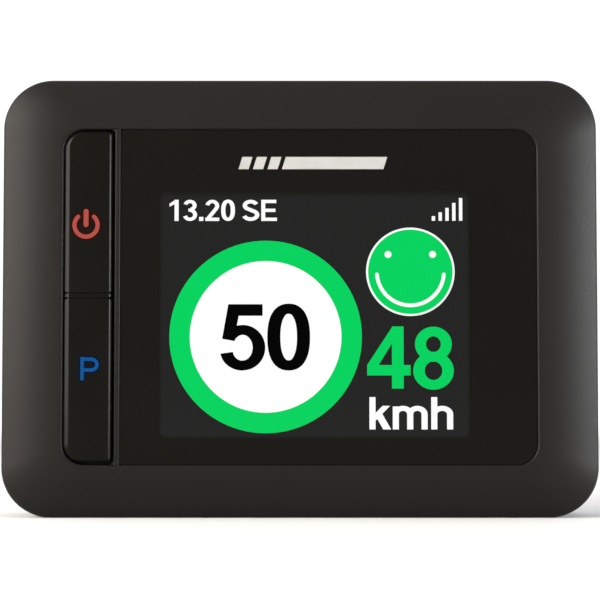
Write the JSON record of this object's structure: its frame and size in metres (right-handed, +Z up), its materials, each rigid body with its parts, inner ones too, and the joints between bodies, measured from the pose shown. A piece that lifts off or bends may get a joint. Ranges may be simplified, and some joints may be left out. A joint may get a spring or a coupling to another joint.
{
  "type": "radar detector",
  "caption": "Slim dash-mounted radar and speed-camera detector: domed black bezel, flush display window, tilting side keys, rear speaker grille and steel mounting disc.",
  "frame": {"origin": "centre of the bounding box's base: the device stands upright on its long lower edge", "axes": "+X to the right as seen by the driver, +Y from the display towards the back, +Z up"},
  "size_m": [0.078, 0.016, 0.0574],
  "materials": {
    "case_plastic": "fine soft-touch black-brown ABS",
    "key_plastic": "satin black, softly rounded edges",
    "lens": "high-gloss black window, hard coated",
    "foam": "closed-cell black foam and double-sided tape",
    "lcd_glass": "dark polarised display glass",
    "white_plastic": "white reflective backlight tray",
    "flex": "amber polyimide ribbon",
    "board": "green solder mask",
    "chip": "moulded black epoxy",
    "connector": "natural nylon",
    "antenna_ceramic": "fired tan ceramic",
    "tin": "tin-plated sheet",
    "steel": "spun, lightly brushed",
    "black_steel": "black zinc",
    "battery_foil": "laminated pouch foil",
    "wire_red": "red wire insulation",
    "wire_black": "black wire insulation",
    "cone": "treated black paper",
    "label": "plain silver-grey film",
    "led_red": "red light-emitting diode",
    "led_blue": "blue light-emitting diode"
  },
  "bodies": {
    "case": {"front_bezel": "case_plastic", "rear_cover": "case_plastic", "display_lens": "lens", "lens_adhesive": "foam", "button_bridge": "key_plastic", "lcd_gasket": "foam", "lcd_glass": "lcd_glass", "lcd_backlight_frame": "white_plastic", "lcd_flex": "flex", "lcd_connector": "connector", "main_board": "board", "power_switch_body": "tin", "program_switch_body": "tin", "power_led": "led_red", "program_led": "led_blue", "gps_patch_antenna": "antenna_ceramic", "gps_patch_electrode": "tin", "gps_feed_pin": "tin", "gps_shield_can": "tin", "processor_chip": "chip", "memory_chip": "chip", "audio_amplifier_chip": "chip", "charger_chip": "chip", "power_inductor": "chip", "crystal": "tin", "usb_socket_shell": "tin", "usb_socket_tongue": "chip", "battery_cell": "battery_foil", "battery_tape": "foam", "battery_connector": "connector", "battery_lead_red": "wire_red", "battery_lead_black": "wire_black", "speaker_basket": "black_steel", "speaker_cone": "cone", "speaker_magnet": "steel", "speaker_gasket": "foam", "speaker_cloth": "foam", "speaker_lead_red": "wire_red", "speaker_lead_black": "wire_black", "case_screw_1": "black_steel", "case_screw_2": "black_steel", "case_screw_3": "black_steel", "case_screw_4": "black_steel", "disc_adhesive": "foam", "mounting_disc": "steel", "rating_label": "label"},
    "power_key": {"power_button": "key_plastic"},
    "program_key": {"program_button": "key_plastic"},
    "power_plunger": {"power_switch_plunger": "chip"},
    "program_plunger": {"program_switch_plunger": "chip"}
  },
  "joints": [
    {"name": "power_key_tilt", "type": "hinge", "parent": "case", "child": "power_key", "pos_m": [-0.02745, -0.0048, 0.02932], "axis": [-1, 0, 0], "range_deg": [0, 1.1], "stiffness_Nm_per_rad": 0.6},
    {"name": "program_key_tilt", "type": "hinge", "parent": "case", "child": "program_key", "pos_m": [-0.02745, -0.0048, 0.02833], "axis": [1, 0, 0], "range_deg": [0, 1.1], "stiffness_Nm_per_rad": 0.6},
    {"name": "power_plunger_travel", "type": "slide", "parent": "case", "child": "power_plunger", "axis": [0, 1, 0], "range_m": [0, 0.00026]},
    {"name": "program_plunger_travel", "type": "slide", "parent": "case", "child": "program_plunger", "axis": [0, 1, 0], "range_m": [0, 0.00026]}
  ],
  "couplings": [
    {"joint": "power_plunger_travel", "follows": "power_key_tilt", "m_per_rad": 0.01315},
    {"joint": "program_plunger_travel", "follows": "program_key_tilt", "m_per_rad": 0.01315}
  ]
}
